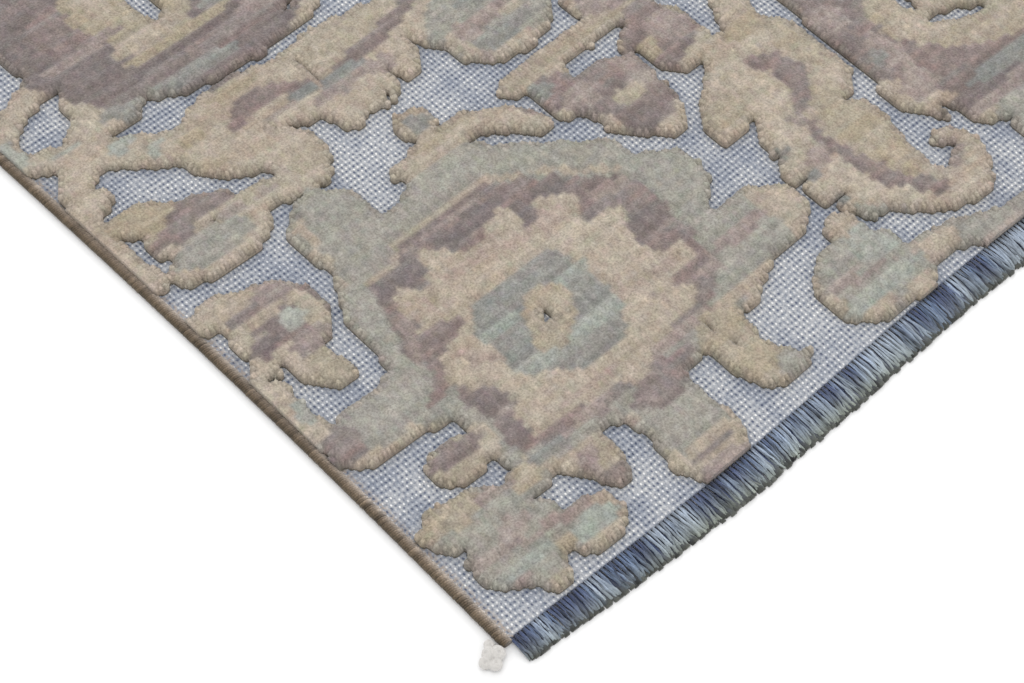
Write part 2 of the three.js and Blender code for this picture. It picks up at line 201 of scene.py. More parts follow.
# %% Outlines of the pile, from the CAD solid
outline = bmesh.new()
outline.from_mesh(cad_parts["field"].data)
bmesh.ops.remove_doubles(outline, verts=outline.verts, dist=1e-6)
top = PILE_TOP * MM - 1e-4
lower = [f for f in outline.faces if min(v.co.z for v in f.verts) < top]
bmesh.ops.delete(outline, geom=lower, context="FACES")
ends = np.array([[v.co[:2] for v in e.verts] for e in outline.edges if e.is_boundary]) / MM
outline.free()
sx, sy = straight(ends[..., 0] - SHIFT_X, ends[..., 1] - SHIFT_Y)
steps_x = (sx + HALF_X) / CELL_X * FINE
steps_y = (sy + HALF_Y) / CELL_Y * FINE
flips = np.zeros((KNOTS_Y * FINE, KNOTS_X * FINE + 1), int)
for (x0, x1), (y0, y1) in zip(steps_x, steps_y):
    rows = np.arange(math.ceil(min(y0, y1) - 0.5), math.ceil(max(y0, y1) - 0.5))
    rows = rows[(rows >= 0) & (rows < len(flips))]
    if len(rows):
        cols = np.ceil(x0 + (rows + 0.5 - y0) * (x1 - x0) / (y1 - y0) - 0.5).astype(int)
        flips[rows, np.clip(cols, 0, KNOTS_X * FINE)] += 1
covered = (np.cumsum(flips, axis=1)[:, :-1] % 2).astype(float)
middle = slice(FINE // 2, None, FINE)
RAGGED_EDGE = 0.26  # how much single knots stray over an outline
uneven = RAGGED_EDGE * (random.random((KNOTS_Y, KNOTS_X)) - 0.5)
PILE = blurred(covered, 2.0, 1.6)[middle, middle] > 0.5 + uneven

# %% Narrow slits and curled tips
# The solid has only the main forms. Slits of weave between neighbours, and the curls of leaf tips, are
# a few knots wide, and are drawn here as strokes: stations of x, y and width on the drawing.
CURLS = [
    [(452, 54, 17), (464, 63, 15), (469, 75, 12), (466, 86, 11), (459, 91, 9), (455, 90, 7)],
    [(180, 450, 12), (222, 452, 14), (240, 458, 12)],
    [(252, 36, 14), (266, 32, 9), (277, 34, 4)],
    [(440, 238, 12), (450, 225, 12), (453, 205, 10), (452, 180, 10), (446, 162, 8)],
]
SLITS = [
    [(462, 262, 12), (462, 236, 9), (461, 205, 7), (461, 175, 8), (459, 150, 9)],
    [(366, 150, 5), (372, 146, 4)], [(360, 123, 5), (374, 121, 4)], [(366, 98, 7), (379, 98, 5)],
    [(459, 79, 7), (450, 80, 7)], [(449, 74, 6), (446, 92, 7)],
    [(480, 104, 8), (481, 86, 8), (488, 74, 7)], [(384, 20, 9), (398, 19, 10), (411, 15, 8)],
    [(139, 394, 2.5), (154, 385, 3), (168, 374, 8), (178, 362, 12)], [(102, 374, 9), (122, 361, 10)],
    [(197, 397, 2.5), (198, 428, 2.5)], [(62, 353, 2.5), (74, 354, 2.5)],
    [(216, 344, 6), (221, 362, 4)], [(237, 348, 8), (234, 373, 5)], [(265, 364, 8), (262, 386, 4)],
    [(324, 289, 13), (352, 290, 12)], [(362, 246, 7), (364, 272, 5)], [(298, 262, 5), (306, 246, 6)],
    [(20, 238, 5), (30, 230, 6)], [(246, 66, 2.5), (244, 90, 2.5)],
    [(384, 74, 4), (395, 63, 9), (409, 49, 11), (424, 39.5, 12), (441, 35.5, 9), (457, 36, 5)],
    [(377, 72, 5), (391, 71, 6)], [(393, 58, 7), (408, 46, 9)], [(297.4, 261.9, 6), (303.3, 247.2, 6)],
]
draw_x, draw_y = MIDDLE_X - abs(grid_x), MIDDLE_Y - abs(grid_y)
for stroke in CURLS:
    PILE |= in_stroke(draw_x, draw_y, stroke)
for stroke in SLITS:
    PILE &= ~in_stroke(draw_x, draw_y, stroke)
SOFT = to_corners(np.clip(blurred(per_step(PILE.astype(float)), 1.25, 1.0), 0, 1))
print(f"{len(ends)} outline edges, {PILE.mean():.0%} of {PILE.size} knots carry pile")

# %% [markdown]
# ## Yarn colours
# The dyer's yarns run in uneven lots, so a flower isn't one flat colour: short streaks of paler and
# darker yarn lie along the rows of knots. Each yarn here is a ramp of a few dyes, and a random streak
# picks the place on the ramp. The zones of each flower are drawn like the flower itself, as rounds
# and strokes on the drawing of one quarter, and the other quarters mirror them.

# %% Dyes
# Each yarn: its dyes as sRGB, from one end of its ramp to the other.
DYES = {
    "cream": [(166, 151, 135), (175, 163, 149), (170, 157, 141), (180, 168, 154), (168, 159, 143)],
    "blush": [(169, 152, 141), (177, 162, 150), (166, 150, 140), (174, 158, 149)],
    "gold": [(163, 150, 130), (170, 158, 139), (162, 152, 136), (174, 163, 146)],
    "green": [(150, 145, 135), (157, 155, 145), (146, 143, 136), (162, 158, 149), (152, 147, 139)],
    "aqua": [(153, 157, 149), (163, 166, 158), (157, 157, 149), (167, 168, 159)],
    "slate": [(132, 133, 130), (144, 144, 139), (138, 134, 129), (149, 148, 142)],
    "mauve": [(121, 109, 105), (136, 123, 119), (144, 126, 121), (131, 124, 121), (142, 131, 127),
        (126, 114, 111)],
    "rose": [(150, 135, 129), (161, 148, 141), (146, 133, 129), (165, 154, 146)],
    "plum": [(115, 105, 102), (127, 116, 113), (120, 112, 111), (134, 121, 118)],
}


def linear(srgb):
    c = np.asarray(srgb, float) / 255
    return np.where(c <= 0.04045, c / 12.92, ((c + 0.055) / 1.055) ** 2.4)


# %% Colour zones of one quarter
# Each row: the yarn, its rounds (x, y, half width, half height), and where it has them its strokes
# (stations of x, y and width) and its areas (corners x, y), in millimetres on the drawing. Later rows
# lie over earlier ones.
ZONES = [
    # collared palmette by the corner
    ("green", [(190, 182, 128, 128), (125, 300, 38, 42), (205, 276, 50, 34), (250, 250, 40, 36),
        (300, 182, 40, 60), (324, 120, 46, 36), (100, 240, 40, 60)]),
    ("cream", [], [[(108, 252, 4), (137, 256, 5), (142, 265, 5), (214, 266, 5), (243, 250, 5),
        (264, 230, 5), (286, 212, 5)]]),
    ("mauve", [(82, 167, 15, 10)], [], [[(99, 97), (97, 150), (95, 200), (105, 236), (109, 250),
        (137, 253), (141, 263), (213, 263), (240, 247), (262, 226), (283, 208), (290, 184), (288, 150),
        (284, 125), (268, 106), (252, 96), (205, 95), (150, 85)]]),
    ("plum", [(124, 239, 17, 9), (188, 246, 30, 7), (217, 229, 6, 12), (242, 231, 12, 9),
        (272, 167, 16, 10), (106, 140, 9, 12), (104, 110, 8, 10)]),
    ("rose", [], [[(146, 257, 6), (200, 258, 6)], [(263, 208, 9), (283, 202, 9)], [(262, 160, 6),
        (284, 161, 6)], [(256, 118, 6), (280, 117, 6)], [(101, 196, 8), (108, 220, 8)], [(118, 92, 6),
        (164, 93, 6)], [(206, 96, 7), (252, 98, 6)], [(104, 128, 5), (114, 124, 6)]]),
    ("cream", [], [], [[(96, 166), (104, 179), (116, 187), (133, 189), (136, 198), (110, 202),
        (111, 231), (121, 238), (128, 228), (141, 228), (144, 246), (152, 251), (162, 242), (171, 232),
        (192, 233), (194, 240), (211, 242), (212, 219), (222, 219), (226, 231), (235, 231), (254, 211),
        (238, 199), (240, 194), (262, 193), (272, 188), (258, 176), (257, 150), (272, 145), (281, 138),
        (278, 131), (256, 131), (250, 122), (258, 112), (252, 105), (206, 102), (200, 91), (184, 87),
        (172, 97), (114, 103), (113, 118), (119, 130), (113, 141), (120, 147), (106, 152)]]),
    ("blush", [], [[(120, 225, 5), (134, 206, 5)], [(148, 222, 8), (190, 224, 10)], [(196, 218, 10),
        (208, 216, 10)], [(224, 214, 14), (236, 212, 12)], [(140, 108, 7), (180, 107, 7)],
        [(222, 140, 8), (262, 137, 7)], [(116, 175, 6), (128, 160, 7)]]),
    ("slate", [], [], [[(146, 198), (207, 198), (216, 184), (218, 150), (212, 131), (204, 119),
        (164, 119), (148, 129), (134, 146), (132, 179)]]),
    ("aqua", [], [[(135, 175, 10), (158, 174, 10)], [(200, 176, 9), (216, 175, 10)], [(138, 142, 11),
        (212, 140, 13)]]),
    ("gold", [(195, 107, 7, 3), (243, 144, 5, 5), (131, 214, 4, 6)], [], [[(158, 144), (166, 138),
        (179, 141), (191, 152), (198, 166), (197, 178), (189, 183), (176, 181), (164, 172),
        (157, 158)]]),
    ("slate", [(104, 88, 22, 5)]),
    ("cream", [], [[(95, 80, 8), (130, 78, 8), (165, 72, 8)], [(250, 95, 8), (300, 91, 8),
        (345, 96, 9)], [(20, 148, 8), (60, 148, 8), (80, 141, 9)], [(98, 262, 6), (104, 290, 6),
        (108, 318, 8)]]),
    ("green", [(45, 172, 44, 17), (185, 52, 24, 34), (86, 90, 9, 40)]),
    ("mauve", [(22, 170, 13, 15), (190, 76, 20, 12), (205, 84, 20, 8)]),
    ("cream", [(185, 22, 30, 14)], [[(20, 152, 7), (45, 150, 7), (62, 150, 7)]]),
    ("mauve", [], [[(168, 25, 4), (200, 25, 4)]]),
    ("rose", [(184, 14, 22, 5), (310, 124, 30, 5)]),
    ("gold", [(248, 58, 26, 38)]),
    ("green", [(268, 35, 16, 9)]),
    ("rose", [(128, 66, 12, 10)]),
    ("gold", [(136, 60, 9, 14)]),
    ("mauve", [(130, 48, 14, 8)]),
    # corner blossom and bud
    ("green", [(56, 62, 50, 44)]),
    ("gold", [(36, 93, 26, 11), (90, 22, 24, 8), (76, 33, 7, 8), (60, 17, 12, 7), (88, 84, 12, 9)]),
    ("rose", [(68, 89, 16, 6), (42, 56, 20, 3), (92, 49, 20, 4), (34, 33, 14, 5)]),
    ("rose", [(62, 64, 11, 7), (72, 51, 20, 3), (54, 57, 8, 4)]),
    ("aqua", [(98, 35, 18, 7), (45, 41, 24, 4)]),
    ("cream", [(68, 120, 27, 19)]),
    ("mauve", [(68, 124, 18, 8)]),
    ("gold", [(62, 112, 18, 4)]),
    # rosette at the side
    ("mauve", [(52, 272, 36, 36)]),
    ("rose", [(66, 286, 16, 10), (30, 262, 12, 4)]),
    ("cream", [(22, 268, 8, 24), (40, 276, 28, 3), (36, 244, 18, 5), (72, 262, 8, 18)]),
    ("plum", [(32, 257, 14, 5)]),
    ("aqua", [(58, 262, 9, 9)]),
    ("rose", [(58, 243, 14, 9)]),
    ("gold", [(56, 222, 17, 14)]),
    ("cream", [(28, 297, 28, 10)]),
    ("cream", [(16, 214, 12, 34)], [[(15, 340, 22), (12, 380, 18), (16, 412, 28), (30, 440, 28),
        (60, 446, 30), (96, 420, 34)]]),
    ("aqua", [(22, 205, 6, 10), (68, 442, 10, 6), (88, 424, 10, 7)]),
    ("cream", [], [[(10, 465, 24), (14, 500, 22), (40, 512, 24), (70, 524, 24)]]),
    ("aqua", [(12, 478, 8, 14), (42, 461, 12, 4), (56, 536, 10, 8)]),
    # curling blossom and hook
    ("gold", [(42, 386, 26, 16)]),
    ("mauve", [(74, 370, 26, 11), (44, 359, 16, 8)]),
    ("cream", [(50, 348, 60, 7)]),
    ("green", [(60, 340, 30, 12)]),
    ("cream", [(62, 324, 40, 4)], [[(95, 349, 20), (125, 347, 24), (150, 350, 44), (135, 375, 46),
        (105, 405, 50)]]),
    ("rose", [(86, 353, 12, 4), (110, 351, 10, 4)]),
    ("gold", [(100, 400, 14, 14), (146, 352, 14, 8)]),
    # cloud leaf
    ("cream", [(150, 415, 58, 32), (245, 392, 100, 40)]),
    ("gold", [(106, 416, 10, 7), (235, 416, 34, 9), (150, 431, 20, 6)]),
    ("mauve", [], [[(130, 404, 9), (146, 414, 15), (166, 412, 13), (186, 404, 9)], [(214, 397, 12),
        (246, 400, 13), (274, 406, 10), (292, 414, 14)]]),
    ("slate", [(212, 393, 20, 4), (180, 397, 12, 4)]),
    ("rose", [(206, 385, 26, 5), (236, 380, 10, 7), (160, 396, 12, 4)]),
    # palmette at the side
    ("plum", [(165, 555, 116, 118)]),
    ("mauve", [(165, 470, 90, 9), (100, 545, 22, 24), (216, 560, 30, 60), (165, 640, 60, 14)]),
    ("slate", [(130, 459, 50, 7), (210, 500, 28, 12)], [[(76, 466, 9), (104, 462, 9)]]),
    ("rose", [(92, 520, 24, 6), (214, 478, 22, 8), (200, 610, 30, 9)]),
    ("gold", [(152, 548, 42, 52), (158, 492, 48, 5)]),
    ("cream", [(140, 504, 30, 8), (132, 560, 10, 30), (172, 566, 16, 26)]),
    ("rose", [], [[(105, 524, 6), (128, 522, 6)]]),
    # stem, bud, branch and what grows from it
    ("cream", [(217, 332, 18, 20)], [[(178, 307, 20), (244, 306, 22), (267, 288, 24), (280, 268, 20)],
        [(280, 309, 26), (465, 307, 26)]]),
    ("slate", [(217, 328, 9, 8)]),
    ("gold", [(225, 309, 30, 3), (330, 307, 60, 3)]),
    ("rose", [(388, 332, 36, 22)]),
    ("cream", [], [[(358, 348, 7), (358, 322, 7)]]),
    ("green", [(317, 361, 50, 42)]),
    ("rose", [(308, 362, 26, 6), (290, 352, 10, 20), (338, 366, 16, 6)]),
    ("slate", [(312, 346, 28, 8), (322, 380, 22, 9)]),
    ("cream", [(310, 328, 40, 7), (282, 350, 6, 20), (330, 358, 12, 5)]),
    ("mauve", [(330, 255, 36, 40), (298, 285, 24, 14)]),
    ("slate", [(290, 291, 12, 7)]),
    ("rose", [(312, 270, 16, 10), (352, 262, 10, 18)]),
    ("gold", [(333, 250, 12, 8)]),
    ("plum", [(328, 227, 14, 7)]),
    ("cream", [(338, 210, 24, 8), (309, 238, 5, 14)]),
    ("mauve", [(390, 268, 32, 36)]),
    ("rose", [(396, 275, 18, 14)]),
    ("gold", [(368, 268, 9, 10), (414, 284, 10, 8)]),
    # saz leaf
    ("cream", [(400, 140, 70, 112), (430, 240, 40, 22)]),
    ("gold", [(368, 196, 20, 10), (425, 125, 16, 50), (445, 205, 9, 26), (432, 240, 20, 8)]),
    ("mauve", [], [[(413, 213, 12), (424, 203, 15), (424, 190, 20), (416, 174, 14), (408, 164, 8)],
        [(401, 152, 9), (400, 130, 9), (403, 112, 10), (409, 90, 14), (418, 74, 12), (430, 61, 13)]]),
    ("slate", [(366, 147, 12, 6), (374, 122, 9, 4), (372, 98, 12, 4)]),
    ("rose", [(452, 78, 12, 12), (398, 158, 5, 8), (388, 130, 10, 8)]),
    # end blossom and its stem
    ("green", [(350, 50, 52, 44)], [[(380, 36, 26), (430, 22, 22), (490, 16, 20)]]),
    ("cream", [(318, 24, 30, 9), (310, 50, 8, 30), (360, 86, 14, 14), (364, 16, 18, 7)],
        [[(384, 34, 18), (404, 32, 14)]]),
    ("rose", [(330, 54, 18, 4), (345, 46, 16, 3), (430, 12, 24, 4)]),
    ("aqua", [(345, 34, 36, 6), (368, 62, 20, 14)]),
    # palmette on the long centre line
    ("green", [(MIDDLE_X, 56, 122, 48)]),
    ("mauve", [(MIDDLE_X, 190, 147, 126)]),
    ("rose", [(476, 206, 14, 14), (484, 160, 10, 20), (480, 128, 14, 12), (520, 92, 50, 7),
        (475, 240, 14, 8)]),
    ("plum", [(472, 182, 8, 10), (505, 100, 40, 6), (560, 290, 40, 12)]),
    ("slate", [(560, 106, 60, 7), (474, 162, 8, 6)]),
    ("gold", [(MIDDLE_X, 180, 110, 68)]),
    ("cream", [(520, 170, 20, 26), (MIDDLE_X, 230, 80, 10), (560, 132, 34, 7)]),
    ("slate", [(MIDDLE_X, 182, 36, 30)]),
    ("gold", [(MIDDLE_X, 182, 15, 15)]),
    ("mauve", [(MIDDLE_X, 322, 54, 42)]),
    ("cream", [(MIDDLE_X, 322, 30, 18), (MIDDLE_X, 36, 60, 8)]),
    # small palmette above it, and what grows about it
    ("green", [(MIDDLE_X, 455, 92, 90), (404, 430, 50, 60)]),
    ("cream", [(MIDDLE_X, 455, 62, 60), (400, 412, 42, 30)]),
    ("mauve", [(MIDDLE_X, 455, 54, 50), (400, 412, 20, 14)]),
    ("gold", [(MIDDLE_X, 455, 24, 22)]),
    ("cream", [(500, 350, 60, 34), (480, 415, 50, 60)]),
    ("mauve", [], [[(512, 388, 8), (492, 410, 18), (478, 436, 16)]]),
    # palmette half-way to the middle
    ("mauve", [(420, 590, 106, 110)]),
    ("rose", [(380, 540, 30, 12), (470, 630, 24, 14), (440, 520, 26, 8)]),
    ("cream", [(420, 590, 68, 70), (420, 500, 26, 16)]),
    ("slate", [(420, 590, 42, 42)]),
    ("gold", [(420, 590, 18, 22)]),
    ("cream", [], [[(448, 672, 34), (454, 740, 44), (428, 815, 34)], [(546, 560, 30), (566, 606, 50),
        (540, 648, 30)]]),
    ("mauve", [(454, 740, 8, 40), (566, 606, 8, 24)]),
    ("green", [(520, 700, 46, 42), (372, 778, 38, 42)]),
    ("rose", [(520, 700, 20, 16), (372, 778, 16, 20)]),
    # side palmette towards the middle
    ("green", [(165, 790, 104, 102)]),
    ("mauve", [(165, 790, 84, 80)]),
    ("cream", [(165, 790, 60, 56)]),
    ("slate", [(165, 790, 36, 34)]),
    ("gold", [(165, 790, 16, 20), (165, 690, 24, 40)]),
    ("cream", [], [[(14, 548, 26), (13, 610, 26), (18, 660, 26)], [(16, 712, 26), (13, 790, 26),
        (18, 862, 26)], [(290, 560, 30), (312, 640, 70), (304, 720, 64), (276, 764, 30)],
        [(224, 850, 30), (250, 884, 40)]]),
    ("mauve", [(308, 674, 12, 50), (42, 678, 34, 36), (318, 474, 40, 36)]),
    ("cream", [(42, 678, 14, 16), (318, 474, 18, 14)]),
    # medallion in the middle, and the rosettes beside it
    ("green", [(MIDDLE_X, MIDDLE_Y, 170, 190), (320, MIDDLE_Y, 72, 80)]),
    ("cream", [(MIDDLE_X, MIDDLE_Y, 132, 150), (320, MIDDLE_Y, 50, 56), (48, MIDDLE_Y, 44, 50)]),
    ("mauve", [(MIDDLE_X, MIDDLE_Y, 122, 140), (320, MIDDLE_Y, 42, 48), (48, MIDDLE_Y, 26, 30)]),
    ("cream", [(MIDDLE_X, MIDDLE_Y, 92, 104), (320, MIDDLE_Y, 26, 30)]),
    ("slate", [(MIDDLE_X, MIDDLE_Y, 58, 64), (48, MIDDLE_Y, 12, 14)]),
    ("gold", [(MIDDLE_X, MIDDLE_Y, 26, 30), (320, MIDDLE_Y, 12, 14)]),
]


# %% Paint the knots
YARNS = list(DYES)
OVERRUN = 5  # mm by which rows of one colour run over the edge of its zone
ragged = OVERRUN * (grain(PILE.shape, 3, 0.4) - 0.5)
draw_x, draw_y = MIDDLE_X - abs(grid_x) + ragged, MIDDLE_Y - abs(grid_y) + ragged / 3
yarn = np.zeros(PILE.shape, int)
for name, rounds, *more in ZONES:
    strokes, areas = (more + [[], []])[:2]
    for corners in areas:
        yarn[in_area(draw_x, draw_y, corners)] = YARNS.index(name)
    for row in rounds:
        yarn[in_round(draw_x, draw_y, row)] = YARNS.index(name)
    for stations in strokes:
        yarn[in_stroke(draw_x, draw_y, stations)] = YARNS.index(name)
STREAKS = [(0.42, 10, 0.9), (0.34, 8, 0.4), (0.24, 3, 1.1)]  # weight, and size in knots each way
streaks = ranked(sum(weight * grain(PILE.shape, *size) for weight, *size in STREAKS))
DYE_GAIN, RIM_DYE_AND_HIGHLIGHT, RIM_SHARE = 1.03, linear((190, 176, 158)), 0.6
KNOT_LIGHTNESS, KNOT_HUE = 0.09, 0.02  # how much single knots differ
colour = np.zeros((*PILE.shape, 3))
for index, dyes in enumerate(DYES.values()):
    ramp, at = linear(dyes) * DYE_GAIN, streaks * (len(dyes) - 1)
    mixed = np.stack([np.interp(at, range(len(dyes)), ramp[:, c]) for c in range(3)], axis=-1)
    colour[yarn == index] = mixed[yarn == index]
# Pale outline of the flowers: partly the yarn's own paler rim, partly a painted highlight that makes
# the tufts at the rims look lit.
rim = np.clip(1.7 - 2.1 * blurred(PILE.astype(float), 1.1, 0.9), 0, 1)  # pale outline of the flowers
rim *= 0.35 + 0.65 * grain(PILE.shape, 2, 1.5)
colour += (rim * RIM_SHARE)[..., None] * (RIM_DYE_AND_HIGHLIGHT - colour)
lighter = KNOT_LIGHTNESS * random.standard_normal(PILE.shape)[..., None]
colour *= 1 + lighter + KNOT_HUE * random.standard_normal(colour.shape)
print({name: f"{(yarn[PILE] == i).mean():.0%}" for i, name in enumerate(YARNS)})

# %% What the camera sees


def seen(x, y):
    """Whether a point of the straight rug is in the camera's picture, with a little to spare."""
    points = place(x, y, 0 * x + GROUND_TOP) - np.array(camera.location)
    turn = np.array(camera.rotation_euler.to_matrix())
    across, up, depth = np.moveaxis(points @ turn, -1, 0)
    reach = 0.5 * camera.data.sensor_width / camera.data.lens * 1.03
    return (abs(across / depth) < reach) & (abs(up / depth) < reach * 683 / 1024)


# %% Maps on the fine steps
corner_x, corner_y = np.meshgrid(
    np.linspace(-HALF_X, HALF_X, KNOTS_X * FINE + 1),
    np.linspace(-HALF_Y, HALF_Y, KNOTS_Y * FINE + 1),
)
tint = np.stack([to_corners(blurred(per_step(colour[..., c]), 0.6, 0.5)) for c in range(3)], axis=-1)
zone_edge = np.zeros(PILE.shape)
zone_edge[:, 1:] += yarn[:, 1:] != yarn[:, :-1]
zone_edge[1:, :] += yarn[1:, :] != yarn[:-1, :]
grooves = to_corners(blurred(per_step(np.minimum(zone_edge, 1)), 1.0, 0.8))
shoulder = to_corners(np.clip(blurred(per_step(PILE.astype(float)), 2.8, 2.2), 0, 1))
tufts = to_corners(blurred(per_step(random.random(PILE.shape)), 1.0, 0.8)) - 0.5
swell = grain(SOFT.shape, 9, 8) - 0.5
rows_of_knots = grain(SOFT.shape, 30, 1.0) - 0.5
wall = np.clip((SOFT - 0.2) / 0.56, 0, 1)
profile = np.sqrt(np.clip(1 - (1 - wall) ** 2.2, 0, 1))
edgeness = np.clip((1 - shoulder) * 2, 0, 1)
between_rows = np.arange(KNOTS_Y * FINE + 1)[:, None] % FINE == 0
between_columns = np.arange(KNOTS_X * FINE + 1) % FINE == 0
crease = (between_rows | between_columns) * seen(corner_x, corner_y)
crease = crease * (0.4 + 0.6 * random.random(SOFT.shape))
grooves = np.clip(grooves, 0, 1)
# Millimetres: a soft surface, more uneven towards the rims, and cut between zones and between knots.
crown = PILE_TOP - 0.35 - 0.9 * edgeness + (0.9 + 1.8 * edgeness) * tufts
crown += 0.5 * swell + 0.55 * rows_of_knots
crown -= 1.2 * grooves + (0.25 + 2.0 * edgeness) * crease
# Painted shade: the colour is darkened in the creases between knots, most of all near the rims, and
# along the grooves between zones.
tint *= ((1 - (0.07 + 0.36 * edgeness) * crease) * (1 - 0.1 * grooves))[..., None]
HEIGHT = PILE_FOOT + (np.minimum(crown, PILE_TOP) - PILE_FOOT) * profile
slope_y, slope_x = np.gradient(blurred(SOFT, 1, 1))
steep = np.hypot(slope_x, slope_y) + 1e-9
# The tufts at a rim lean out over the weave, and shade their own feet.
UP_THE_WALL, LEANING = [0, 0.25, 0.55, 0.85, 1], [-0.4, 0.9, 2.0, 1.4, 0]  # share of it, and mm
lean = np.interp(wall, UP_THE_WALL, LEANING) * (1 - 0.35 * crease)
LEAN_X, LEAN_Y = -lean * slope_x / steep, -lean * slope_y / steep
print(f"pile from {HEIGHT.min():.1f} to {HEIGHT.max():.1f} mm")

# %% [markdown]
# ## The cut pile
# One grid with a cell for each knot covers the whole rug. Cells without pile are deleted, cells on the
# edge of a flower and all cells near the camera are subdivided, and every vertex then takes its height
# and colour from the maps. The boundary is extruded down into the weave and filled, so that each
# piece is a closed solid.

# %% Strips of pile
# The pile is shared out in strips from end to end, so that no piece is too heavy to handle.
KEEP_ABOVE, STRIPS = 0.1, 5
tallest = np.zeros(PILE.shape)
for dy in range(FINE + 1):
    for dx in range(FINE + 1):
        corner = SOFT[dy : dy + KNOTS_Y * FINE : FINE, dx : dx + KNOTS_X * FINE : FINE]
        tallest = np.maximum(tallest, corner)
kept = tallest > KEEP_ABOVE
fine = kept & seen(grid_x, grid_y)
cost = np.where(fine, 2 * FINE**2, 2) * kept
strip = np.floor(np.cumsum(cost.sum(axis=0)) / cost.sum() * STRIPS * 0.9999).astype(int)
print(f"{fine.sum()} knots in the picture, about {cost.sum()} triangles")
print(f"strips end at {np.flatnonzero(np.diff(strip))}")


# %% Make a piece of pile


def mesh_object(name, bm):
    mesh = bpy.data.meshes.new(name)
    bm.to_mesh(mesh)
    bm.free()
    obj = bpy.data.objects.new(name, mesh)
    bpy.context.scene.collection.objects.link(obj)
    mesh.shade_smooth()
    return obj


def coordinates(mesh):
    co = np.empty(len(mesh.vertices) * 3)
    mesh.vertices.foreach_get("co", co)
    return co.reshape(-1, 3)


def set_coordinates(mesh, co):
    mesh.vertices.foreach_set("co", co.ravel())
    mesh.update()


def paint(mesh, name, colours):
    """A colour for each vertex, kept in the mesh under that name."""
    layer = mesh.color_attributes.new(name, "FLOAT_COLOR", "POINT")
    layer.data.foreach_set("color", np.column_stack([colours, np.ones(len(colours))]).ravel())


def pile_piece(name, mine):
    bm = bmesh.new()
    bmesh.ops.create_grid(bm, x_segments=KNOTS_X, y_segments=KNOTS_Y, size=1)
    bmesh.ops.scale(bm, vec=(KNOTS_X / 2, KNOTS_Y / 2, 1), verts=bm.verts)
    bmesh.ops.translate(bm, vec=(KNOTS_X / 2, KNOTS_Y / 2, 0), verts=bm.verts)

    def knot_of(face):
        middle = face.calc_center_bounds()
        return int(middle.y), int(middle.x)

    bare = [f for f in bm.faces if not mine[knot_of(f)]]
    bmesh.ops.delete(bm, geom=bare, context="FACES")
    cut = {e for f in bm.faces if fine[knot_of(f)] for e in f.edges}
    bmesh.ops.subdivide_edges(bm, edges=list(cut), cuts=FINE - 1, use_grid_fill=True)
    step = lambda v: (round(v.co.y * FINE), round(v.co.x * FINE))
    off = [f for f in bm.faces if max(SOFT[step(v)] for v in f.verts) < KEEP_ABOVE]
    bmesh.ops.delete(bm, geom=off, context="FACES")
    # Patches that touch at a corner only get a vertex each, so that every side can close.
    for v in [v for v in bm.verts if sum(e.is_boundary for e in v.link_edges) > 2]:
        bmesh.utils.vert_separate(v, [e for e in v.link_edges if e.is_boundary])
    rimmed = [e for e in bm.edges if e.is_boundary]
    for edge in rimmed:  # a strip's cut is sharp, so that no shading marks it
        edge.smooth = bool(min(SOFT[step(v)] for v in edge.verts) < 0.6)
    skirt = bmesh.ops.extrude_edge_only(bm, edges=rimmed)["geom"]
    for v in skirt:
        if isinstance(v, bmesh.types.BMVert):
            v.co.z = -1
    foot = [e for e in skirt if isinstance(e, bmesh.types.BMEdge) and e.is_boundary]
    bmesh.ops.triangle_fill(bm, edges=foot, use_beauty=False, use_dissolve=False, normal=(0, 0, -1))
    bmesh.ops.recalc_face_normals(bm, faces=bm.faces)
    open_edges = sum(e.is_boundary for e in bm.edges)
    obj = mesh_object(name, bm)
    co = coordinates(obj.data)
    ix, iy = np.rint(co[:, 0] * FINE).astype(int), np.rint(co[:, 1] * FINE).astype(int)
    z = np.where(co[:, 2] < 0, PILE_FOOT - 0.3, HEIGHT[iy, ix])
    x = co[:, 0] * CELL_X - HALF_X + LEAN_X[iy, ix]
    y = co[:, 1] * CELL_Y - HALF_Y + LEAN_Y[iy, ix]
    set_coordinates(obj.data, place(x, y, z))
    paint(obj.data, "yarn", tint[iy, ix])
    obj.data.calc_loop_triangles()
    print(f"{name}: {len(obj.data.loop_triangles)} triangles, {open_edges} open edges")
    return obj


pile = [pile_piece(f"pile_{n + 1}", kept & (strip == n)) for n in range(STRIPS)]

# %% [markdown]
# ## The plain weave
# Under and between the flowers lies the ground, one flat sheet. Its yarns are far finer than a mesh
# should carry, so the sheet is a plain slab with a UV map in cells of the weave, and the material
# draws each nub and gap. The UV map follows the sway of the cloth, which Object coordinates wouldn't.

# %% The sheet
bm = bmesh.new()
bmesh.ops.create_grid(bm, x_segments=48, y_segments=72, size=1)
bmesh.ops.scale(bm, vec=(HALF_X, HALF_Y, 1), verts=bm.verts)
sides = bmesh.ops.extrude_face_region(bm, geom=bm.faces[:], use_keep_orig=True)["geom"]
raised = [v for v in sides if isinstance(v, bmesh.types.BMVert)]
bmesh.ops.translate(bm, vec=(0, 0, GROUND_TOP), verts=raised)
bmesh.ops.recalc_face_normals(bm, faces=bm.faces)
uv = bm.loops.layers.uv.new("cells")
for face in bm.faces:
    for loop in face.loops:
        x, y, _ = loop.vert.co
        loop[uv].uv = ((x + HALF_X) / CELL_X, (y + HALF_Y) / CELL_Y)
ground = mesh_object("weave", bm)
co = coordinates(ground.data)
set_coordinates(ground.data, place(co[:, 0], co[:, 1], co[:, 2]))
ground.data.shade_flat()
print(f"weave: {len(ground.data.polygons)} faces")

# %% [markdown]
# ## The overcast side
# Down each side a bundle of warps is wrapped with yarn, turn by turn, and the yarn catches the first
# threads of the weave. A grid is rolled into a tube, with three rings to each turn of yarn: a groove
# and two rings on its back. The rings are sheared, because the yarn winds round at a slant, and the
# tube is flatter on its inner side, where it grips the cloth.

